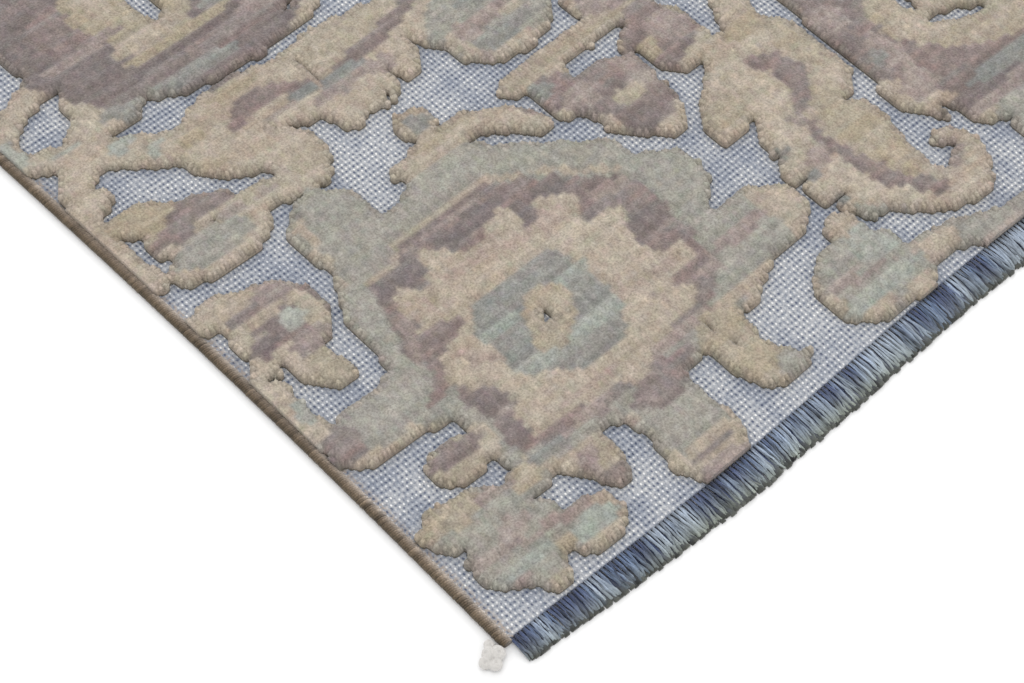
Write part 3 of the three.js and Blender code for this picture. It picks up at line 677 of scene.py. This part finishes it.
# %% Roll of wraps
# In millimetres: its height, how far it grips the weave, and how far it runs past the weave.
BINDING_HEIGHT, BINDING_GRIP, BINDING_PAST = 5.6, 2.0, 2
PITCH, RINGS_PER_WRAP, AROUND = 1.5, 3, 12
SLANT, GROOVE, SQUARENESS = 1.1, 0.84, 2.4  # mm, share of the radius, and the power of its outline
ACROSS = [-1, -0.4, 0.3, 1]  # from the outer side of the roll to its inner side
# Colours across the roll: the pale inner side is the heathered yarn and its whip stitches, the dark
# outer side is painted shade.
HEATHER_AND_SHADE = linear([(86, 76, 61), (111, 96, 80), (142, 129, 116), (187, 177, 168)])


def binding(name, sign):
    long = LENGTH + 2 * BINDING_PAST
    rings = int(long / PITCH) * RINGS_PER_WRAP
    bm = bmesh.new()
    bmesh.ops.create_grid(bm, x_segments=AROUND, y_segments=rings, size=1)
    obj = mesh_object(name, bm)
    co = coordinates(obj.data)
    turn, ring = (co[:, 0] + 1) * np.pi, np.rint((co[:, 1] + 1) / 2 * rings)
    wrap, phase = np.divmod(ring, RINGS_PER_WRAP)
    wrap = wrap.astype(int)
    loose = random.standard_normal(wrap.max() + 2)[wrap]
    r = np.where(phase == 0, GROOVE, 1.0) + 0.02 * loose
    round_x, round_z = -np.cos(turn), np.sin(turn)
    inner = -sign * round_x
    boxy = (abs(round_x) ** SQUARENESS + abs(round_z) ** SQUARENESS) ** (1 / SQUARENESS)
    wide = BINDING_WIDTH + BINDING_GRIP
    x = sign * (WIDTH - wide) / 2 + wide / 2 * r * round_x / boxy
    flat = 1 - 0.3 * np.clip(inner, 0, 1) ** 1.5
    z = BINDING_HEIGHT / 2 * (1 + r * round_z / boxy) * flat
    along = co[:, 1] * long / 2
    slant = SLANT * np.sin(turn / 2) * np.clip((long / 2 - abs(along)) / 3, 0, 1)
    y = along + slant * sign + 0.12 * loose * (phase > 0)
    set_coordinates(obj.data, place(x, y, np.maximum(z, 0)))
    lot = grain((wrap.max() + 2, 1), 0, 6)[wrap, 0]
    # Each turn's own tone, and painted shade in the groove between turns.
    shade = 0.92 + 0.2 * lot + 0.17 * loose + np.where(phase == 0, -0.36, 0.0)
    shade += 0.16 * (wrap % 2) * (inner > 0.5)  # every other turn is caught by a lighter whip stitch
    # The roll's colour across it: the yarn's own heather, with painted shade on its outer side.
    dye = np.stack([np.interp(inner, ACROSS, HEATHER_AND_SHADE[:, c]) for c in range(3)], axis=-1)
    paint(obj.data, "yarn", dye * shade[:, None])
    bm = bmesh.new()
    bm.from_mesh(obj.data)
    bmesh.ops.remove_doubles(bm, verts=bm.verts, dist=1e-6)
    bmesh.ops.holes_fill(bm, edges=[e for e in bm.edges if e.is_boundary])
    bmesh.ops.recalc_face_normals(bm, faces=bm.faces)
    bm.to_mesh(obj.data)
    bm.free()
    obj.data.shade_smooth()
    print(f"{name}: {rings} rings, {len(obj.data.polygons)} faces")
    return obj


bindings = [binding("overcast_left", -1), binding("overcast_right", 1)]

# %% [markdown]
# ## The fringe
# The warps end in a short cut fringe. Each warp is a yarn of three soft plies that stand a little proud
# at the root, where the last weft lifts them, and spread towards their tips. Between and under them
# lie flatter ends, painted navy and olive as the shade in the gaps and under the tips. One ply is
# modelled as a cylinder cut into rings, copied, and every copy is bent in its own way.

# %% One ply, many times
FRINGE_REACH, UNDER_REACH = 22.6, 1.6  # mm past the weave, and how much further the under layer goes
PLIES, UNDER = 3 * KNOTS_X, KNOTS_X
CORNER_SHORT, CORNER_LONG = 0.22, 90  # the fringe is shorter by that share near the corner, in mm
BLUE, NAVY, PALE, SEA, OLIVE = linear(
    [(94, 111, 140), (62, 73, 104), (146, 157, 172), (136, 142, 132), (80, 82, 76)]
)
one = bmesh.new()
bmesh.ops.create_cone(one, cap_ends=True, segments=6, radius1=1, radius2=1, depth=1)
upright = [e for e in one.edges if abs(e.verts[0].co.z - e.verts[1].co.z) > 0.5]
bmesh.ops.subdivide_edges(one, edges=upright, cuts=4)
one_mesh = bpy.data.meshes.new("one_ply")
one.to_mesh(one_mesh)
one.free()


def blend(a, b, amount):
    return a + np.clip(amount, 0, 1) * (b - a)


def fringe(name, end):
    bm = bmesh.new()
    for _ in range(PLIES + UNDER):
        bm.from_mesh(one_mesh)
    obj = mesh_object(name, bm)
    co = coordinates(obj.data).reshape(PLIES + UNDER, -1, 3)
    t, side, lift = co[..., 2] + 0.5, co[..., 0], co[..., 1]  # t runs from the root to the tip
    number = np.arange(PLIES + UNDER)[:, None]
    below = number >= PLIES
    warp = np.where(below, number - PLIES, number // 3)
    ply = np.where(below, 0, number % 3 - 1)
    root = -HALF_X + (warp + np.where(below, 1, 0.5)) * CELL_X
    each = random.standard_normal((5, PLIES + UNDER, 1))
    yarn = random.standard_normal((2, KNOTS_X, 1))[:, warp[:, 0]]
    bunch = blurred(random.standard_normal((1, KNOTS_X)), 1.5, 0).T[warp[:, 0]] * 2.2
    short = 1 - CORNER_SHORT * np.exp(-((root + HALF_X) / CORNER_LONG) ** 2)
    reach = (FRINGE_REACH + 0.55 * each[0] + 0.15 * bunch + np.where(below, UNDER_REACH, 0)) * short
    sway = (0.9 * yarn[0] + 1.6 * each[1] + 0.5 * bunch) * t**1.5 * np.where(below, 0.35, 1)
    crimp = 0.55 * t * np.sin(13 * t + 6 * each[2])
    thick = np.where(below, 1.1 + 1.1 * t, 0.5 + 0.45 * t) * (1 + 0.12 * each[2])
    x = root + sway + ply * (0.5 + 0.5 * t) + crimp + side * thick
    x = np.clip(x, -HALF_X + 0.2, HALF_X - 0.2)
    y = end * (HALF_Y + GAP - 0.6 + t * reach)
    hump = 1.7 + 1.7 * np.sin(np.pi * np.clip(0.15 + 0.85 * t, 0, 1)) + 0.4 * each[3] * t
    z = np.where(below, 0.85 - 0.1 * t, hump - 0.5 * t) + lift * thick * 0.8
    set_coordinates(obj.data, place(x, y, np.maximum(z, 0.05)).reshape(-1, 3))
    if end > 0:
        obj.data.flip_normals()
    lot, patch = grain((KNOTS_X, 1), 0, 1.2)[warp], grain((KNOTS_X, 1), 0, 7)[warp]
    dye = blend(blend(BLUE, NAVY, 1.6 - 4 * lot), PALE, 2.2 * lot + 0.9 * patch - 1.3)
    dye = blend(dye, SEA, 0.75 * (t**2)[..., None] * (0.4 + patch))
    # The under layer is painted dark, navy at the root and olive at the tip: painted shade for the gaps
    # between the yarns and under their tips.
    deep = blend(NAVY, OLIVE, 2.4 * t[..., None] - 1.2)
    twist = 1 + 0.28 * each[4] + 0.2 * np.sin(19 * t + 9 * each[1])  # each ply, and turns along it
    dye = np.where(below[..., None], deep, dye) * twist[..., None]
    # Painted shade: each ply is darker at its root and on its lower side.
    shade = (0.6 + 0.4 * np.clip(t * 5, 0, 1)) * (0.7 + 0.3 * np.clip(lift + 1, 0, 1))
    paint(obj.data, "yarn", (np.clip(dye, 0.01, 1) * shade[..., None]).reshape(-1, 3))
    print(f"{name}: {PLIES + UNDER} plies, {len(obj.data.polygons)} faces")
    return obj


fringes = [fringe("yarns_front", -1), fringe("yarns_back", 1)]
bpy.data.meshes.remove(one_mesh)

# %% [markdown]
# ## The knot at the corner
# The selvedge thread ends in a small tight tangle. A thick ring of thread is spun for each of its
# loops and tilted its own way, and a voxel remesh joins the rings into one soft lumpy skin.

# %% Loops of thread
# Each loop: x and y from the rug's corner, and its radius, in millimetres.
KNOT_LOOPS = [(-3.9, -3, 5), (-9.6, -7, 4.6), (-8.9, 0.5, 4.6), (-4.4, 4, 4), (-13.4, -2.5, 4.2)]
THREAD, OPENING, TILT, LUMPS, KNOT_LIFT = 0.5, 0.44, 0.55, 0.5, 0.4  # shares of a loop, radians, mm, mm
corner = np.array(lie(-WIDTH / 2, -LENGTH / 2)) + (SHIFT_X - GAP, SHIFT_Y)
bm = bmesh.new()
for x, y, r in KNOT_LOOPS:
    thread = bmesh.ops.create_circle(bm, cap_ends=False, segments=10, radius=THREAD * r)["verts"]
    bmesh.ops.rotate(bm, verts=thread, cent=(0, 0, 0), matrix=Matrix.Rotation(math.pi / 2, 3, "X"))
    bmesh.ops.translate(bm, verts=thread, vec=(OPENING * r, 0, 0))
    around = [e for v in thread for e in v.link_edges]
    bmesh.ops.spin(
        bm, geom=thread + list(set(around)), cent=(0, 0, 0), axis=(0, 0, 1),
        angle=2 * math.pi, steps=14, use_merge=True,
    )
    ring = [v for v in bm.verts if not v.tag]
    tilt_x = Matrix.Rotation(TILT * random.standard_normal(), 3, "X")
    tilt_y = Matrix.Rotation(TILT * random.standard_normal(), 3, "Y")
    bmesh.ops.rotate(bm, verts=ring, cent=(0, 0, 0), matrix=tilt_x @ tilt_y)
    for v in ring:
        v.co += LUMPS * noise.noise_vector(v.co * 0.9 + Vector((x, y, r)))
        v.tag = True
    low = min(v.co.z for v in ring)
    bmesh.ops.scale(bm, vec=(MM, MM, MM), verts=ring)
    place_of_ring = Vector((corner[0] + x, corner[1] + y, KNOT_LIFT - low)) * MM
    bmesh.ops.translate(bm, verts=ring, vec=place_of_ring)
bmesh.ops.recalc_face_normals(bm, faces=bm.faces)
knot = mesh_object("thread_knot", bm)
skin = knot.modifiers.new("skin", "REMESH")
skin.mode, skin.voxel_size, skin.use_smooth_shade = "VOXEL", 0.0004, True
evaluated = knot.evaluated_get(bpy.context.evaluated_depsgraph_get())
solid = bpy.data.meshes.new_from_object(evaluated)
knot.modifiers.clear()
knot.data = solid

# %% [markdown]
# ## Finishes
# Wool and cotton have no gloss, but their fuzz catches light at a slant: rough shaders with a little
# sheen. All the yarns share one effect, a fine grain that lightens and darkens the colour and gives
# the bump its height, so it is one node group.

# %% The yarn grain, shared by all the finishes


def link(tree, a, b):
    tree.links.new(a, b)


def math_node(tree, operation, a, b=None, c=None):
    node = tree.nodes.new("ShaderNodeMath")
    node.operation = operation
    for socket, value in zip(node.inputs, (a, b, c)):
        if value is None:
            continue
        if isinstance(value, (int, float)):
            socket.default_value = value
        else:
            link(tree, value, socket)
    return node.outputs[0]


def mix_node(tree, factor, a, b, blend="MIX"):
    node = tree.nodes.new("ShaderNodeMix")
    node.data_type, node.blend_type = "RGBA", blend
    for socket, value in zip((node.inputs[0], node.inputs[6], node.inputs[7]), (factor, a, b)):
        if isinstance(value, (int, float)):
            socket.default_value = value
        elif isinstance(value, (tuple, np.ndarray)):
            socket.default_value = (*value, 1)
        else:
            link(tree, value, socket)
    return node.outputs[2]


def map_node(tree, value, low, high, at_low, at_high):
    """The value moved from one range to another, with soft ends."""
    node = tree.nodes.new("ShaderNodeMapRange")
    node.interpolation_type = "SMOOTHSTEP"
    link(tree, value, node.inputs["Value"])
    for name, number in zip(("From Min", "From Max", "To Min", "To Max"), (low, high, at_low, at_high)):
        node.inputs[name].default_value = number
    return node.outputs[0]


def noise_node(tree, vector, scale, detail=2.0, stretch=None):
    if stretch:
        stretched = tree.nodes.new("ShaderNodeVectorMath")
        stretched.operation = "MULTIPLY"
        stretched.inputs[1].default_value = stretch
        link(tree, vector, stretched.inputs[0])
        vector = stretched.outputs[0]
    node = tree.nodes.new("ShaderNodeTexNoise")
    node.inputs["Scale"].default_value = scale
    node.inputs["Detail"].default_value = detail
    link(tree, vector, node.inputs["Vector"])
    return node.outputs["Fac"]


def yarn_grain_group():
    group = bpy.data.node_groups.new("yarn grain", "ShaderNodeTree")
    face = group.interface
    face.new_socket("Color", in_out="INPUT", socket_type="NodeSocketColor")
    face.new_socket("Amount", in_out="INPUT", socket_type="NodeSocketFloat").default_value = 0.2
    face.new_socket("Scale", in_out="INPUT", socket_type="NodeSocketFloat").default_value = 700
    face.new_socket("Color", in_out="OUTPUT", socket_type="NodeSocketColor")
    face.new_socket("Height", in_out="OUTPUT", socket_type="NodeSocketFloat")
    inside, outside = group.nodes.new("NodeGroupInput"), group.nodes.new("NodeGroupOutput")
    where = group.nodes.new("ShaderNodeTexCoord").outputs["Object"]
    fibres = noise_node(group, where, 1, 3)
    link(group, inside.outputs["Scale"], fibres.node.inputs["Scale"])
    centred = math_node(group, "SUBTRACT", fibres, 0.5)
    factor = math_node(group, "MULTIPLY_ADD", centred, inside.outputs["Amount"], 1.0)
    scaled = group.nodes.new("ShaderNodeVectorMath")
    scaled.operation = "SCALE"
    link(group, inside.outputs["Color"], scaled.inputs[0])
    link(group, factor, scaled.inputs["Scale"])
    link(group, scaled.outputs[0], outside.inputs["Color"])
    link(group, fibres, outside.inputs["Height"])
    return group


GRAIN = yarn_grain_group()


def finish(name, slot_name, roughness, sheen, sheen_tint=(1, 1, 1)):
    """A new material with its Principled shader, and the slot of the record that it belongs to."""
    material = bpy.data.materials.new(name)
    material.use_nodes = True
    tree = material.node_tree
    shader = tree.nodes["Principled BSDF"]
    shader.inputs["Roughness"].default_value = roughness
    shader.inputs["Sheen Weight"].default_value = sheen
    shader.inputs["Sheen Roughness"].default_value = 0.5
    shader.inputs["Sheen Tint"].default_value = (*sheen_tint, 1)
    shader.inputs["Specular IOR Level"].default_value = 0.2
    material["slot"] = slot_name
    return material, tree, shader


def with_grain(tree, colour, amount, scale):
    node = tree.nodes.new("ShaderNodeGroup")
    node.node_tree = GRAIN
    link(tree, colour, node.inputs["Color"])
    node.inputs["Amount"].default_value = amount
    node.inputs["Scale"].default_value = scale
    return node.outputs["Color"], node.outputs["Height"]


def bump(tree, shader, height, distance, strength=1.0):
    node = tree.nodes.new("ShaderNodeBump")
    node.inputs["Distance"].default_value = distance
    node.inputs["Strength"].default_value = strength
    link(tree, height, node.inputs["Height"])
    link(tree, node.outputs[0], shader.inputs["Normal"])


def vertex_colour(tree):
    node = tree.nodes.new("ShaderNodeAttribute")
    node.attribute_name = "yarn"
    return node.outputs["Color"]


# %% Cut pile
# The sides of the pile are darker towards the weave, where light hardly gets between the tufts.
pile_finish, tree, shader = finish("cut pile", "cloth", 1.0, 0.25)
clumps, _ = with_grain(tree, vertex_colour(tree), 0.3, 260)
coloured, fibres = with_grain(tree, clumps, 1.2, 760)
where = tree.nodes.new("ShaderNodeTexCoord").outputs["Object"]
split = tree.nodes.new("ShaderNodeSeparateXYZ")
link(tree, where, split.inputs[0])
SHADE, SHADED_FROM, SHADED_TO = tuple(linear((82, 77, 64))), 0.0026, 0.0045  # colour, metres up
deep = map_node(tree, split.outputs["Z"], SHADED_FROM, SHADED_TO, 0.84, 0.0)
shaded = mix_node(tree, deep, coloured, SHADE)
link(tree, shaded, shader.inputs["Base Color"])
bump(tree, shader, fibres, 0.0013)

# %% Plain weave
# Each cell of the weave has a white nub, and a denim gap between four nubs. Streaks along the warps
# and wefts make some of it bluer and some whiter.
DARK_THREAD, PALE_THREAD, NUB, DENIM, CAUGHT, BLUER = (
    tuple(linear(dye)) for dye in (
        (148, 153, 162), (184, 185, 188), (246, 245, 243), (88, 97, 122), (170, 158, 148),
             (204, 210, 222),
    )
)
weave_finish, tree, shader = finish("plain weave", "cloth", 0.9, 0.1)
cells = tree.nodes.new("ShaderNodeUVMap")
cells.uv_map = "cells"
split = tree.nodes.new("ShaderNodeSeparateXYZ")
link(tree, cells.outputs[0], split.inputs[0])
over = []
for axis in "XY":
    turned = math_node(tree, "MULTIPLY", split.outputs[axis], 2 * math.pi)
    over.append(math_node(tree, "MULTIPLY_ADD", math_node(tree, "COSINE", turned), -0.5, 0.5))
under = [math_node(tree, "SUBTRACT", 1.0, wave) for wave in over]
speckle = noise_node(tree, cells.outputs[0], 1.6, 2)
whole = tree.nodes.new("ShaderNodeVectorMath")
whole.operation = "FLOOR"
link(tree, cells.outputs[0], whole.inputs[0])
each_cell = tree.nodes.new("ShaderNodeTexWhiteNoise")
link(tree, whole.outputs[0], each_cell.inputs["Vector"])
nub = map_node(tree, math_node(tree, "MULTIPLY", *over), 0.34, 0.9, 0.0, 1.0)
whiter = map_node(tree, each_cell.outputs["Value"], 0.0, 1.0, 0.35, 1.0)
nub = math_node(tree, "MULTIPLY", nub, whiter)
gap = map_node(tree, math_node(tree, "MULTIPLY", *under), 0.3, 0.9, 0.0, 1.0)
gap = math_node(tree, "MULTIPLY", gap, map_node(tree, speckle, 0.3, 0.7, 1.0, 0.25))
threads = mix_node(tree, map_node(tree, speckle, 0.35, 0.65, 0.0, 1.0), DARK_THREAD, PALE_THREAD)
woven = mix_node(tree, gap, mix_node(tree, nub, threads, NUB), DENIM)
# Along the sides, in the first two cells or so, the binding's yarn catches the weave.
right = math_node(tree, "SUBTRACT", float(KNOTS_X), split.outputs["X"])
from_side = math_node(tree, "MINIMUM", split.outputs["X"], right)
near = map_node(tree, from_side, 0.6, 2.4, 1.0, 0.0)
caught = math_node(tree, "MULTIPLY", near, map_node(tree, speckle, 0.4, 0.6, 0.1, 1.0))
woven = mix_node(tree, caught, woven, CAUGHT)
sunk = math_node(tree, "MULTIPLY_ADD", gap, -0.6, speckle)
height_uneven = math_node(tree, "MULTIPLY_ADD", nub, 0.5, sunk)
warp_lots = noise_node(tree, cells.outputs[0], 1, 3, stretch=(0.16, 0.03, 1))
weft_lots = noise_node(tree, cells.outputs[0], 1, 3, stretch=(0.03, 0.2, 1))
lots = math_node(tree, "MULTIPLY", math_node(tree, "ADD", warp_lots, weft_lots), 0.5)
blueness = map_node(tree, lots, 0.4, 0.6, 0.0, 0.8)
blue = mix_node(tree, blueness, woven, BLUER, "MULTIPLY")
link(tree, blue, shader.inputs["Base Color"])
bump(tree, shader, height_uneven, 0.0009)

# %% Yarns of the sides and the fringe
binding_finish, tree, shader = finish("overcast yarn", "binding_yarn", 0.95, 0.2)
coloured, fibres = with_grain(tree, vertex_colour(tree), 1.7, 950)
link(tree, coloured, shader.inputs["Base Color"])
bump(tree, shader, fibres, 0.0004)

fringe_finish, tree, shader = finish("fringe yarn", "fringe_yarn", 0.95, 0.3)
coloured, fibres = with_grain(tree, vertex_colour(tree), 0.9, 1100)
link(tree, coloured, shader.inputs["Base Color"])
bump(tree, shader, fibres, 0.0004)

thread_finish, tree, shader = finish("white thread", "knot_thread", 0.45, 0.3)
shader.inputs["Subsurface Weight"].default_value = 0.4
shader.inputs["Subsurface Radius"].default_value = (0.004, 0.004, 0.004)
white = tree.nodes.new("ShaderNodeRGB")
white.outputs[0].default_value = (*linear((208, 205, 201)), 1)
coloured, fibres = with_grain(tree, white.outputs[0], 0.25, 1100)
link(tree, coloured, shader.inputs["Base Color"])
bump(tree, shader, fibres, 0.0005)

# %% Dress the pieces
for piece, material, node in [
    *[(p, pile_finish, "field") for p in pile],
    (ground, weave_finish, "field"),
    (bindings[0], binding_finish, "binding_left"),
    (bindings[1], binding_finish, "binding_right"),
    (fringes[0], fringe_finish, "fringe_front"),
    (fringes[1], fringe_finish, "fringe_back"),
    (knot, thread_finish, "corner_knot"),
]:
    piece.data.materials.clear()
    piece.data.materials.append(material)
    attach(piece, "root")
    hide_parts(node)

# %% [markdown]
# ## Floor and light
# The picture was taken on white, in soft light that comes mostly from behind the rug, so the sides of
# the pile that face the camera are in shade. One wide lamp behind, a weaker one above, and a bright
# world give that.

# %% Stage
bm = bmesh.new()
bmesh.ops.create_grid(bm, x_segments=1, y_segments=1, size=12)
floor = mesh_object("floor", bm)
floor_finish = bpy.data.materials.new("pale floor")
floor_finish.use_nodes = True
floor_shader = floor_finish.node_tree.nodes["Principled BSDF"]
floor_shader.inputs["Base Color"].default_value = (0.92, 0.92, 0.92, 1)
floor_shader.inputs["Roughness"].default_value = 0.9
floor.data.materials.append(floor_finish)

world = bpy.data.worlds.new("studio")
world.use_nodes = True
world.node_tree.nodes["Background"].inputs["Color"].default_value = (1, 1, 1, 1)
world.node_tree.nodes["Background"].inputs["Strength"].default_value = 0.98
bpy.context.scene.world = world


def lamp(name, at, size, power):
    data = bpy.data.lights.new(name, "AREA")
    data.size, data.energy = size, power
    obj = bpy.data.objects.new(name, data)
    obj.location = at
    obj.rotation_euler = (Vector((0, 0, 0)) - Vector(at)).to_track_quat("-Z", "Y").to_euler()
    bpy.context.scene.collection.objects.link(obj)


lamp("back_window", (2.2, 3.0, 3.2), 1.6, 44)
lamp("overhead", (-0.5, -0.5, 4.0), 2.5, 28)
bpy.context.scene.view_settings.view_transform = "Standard"
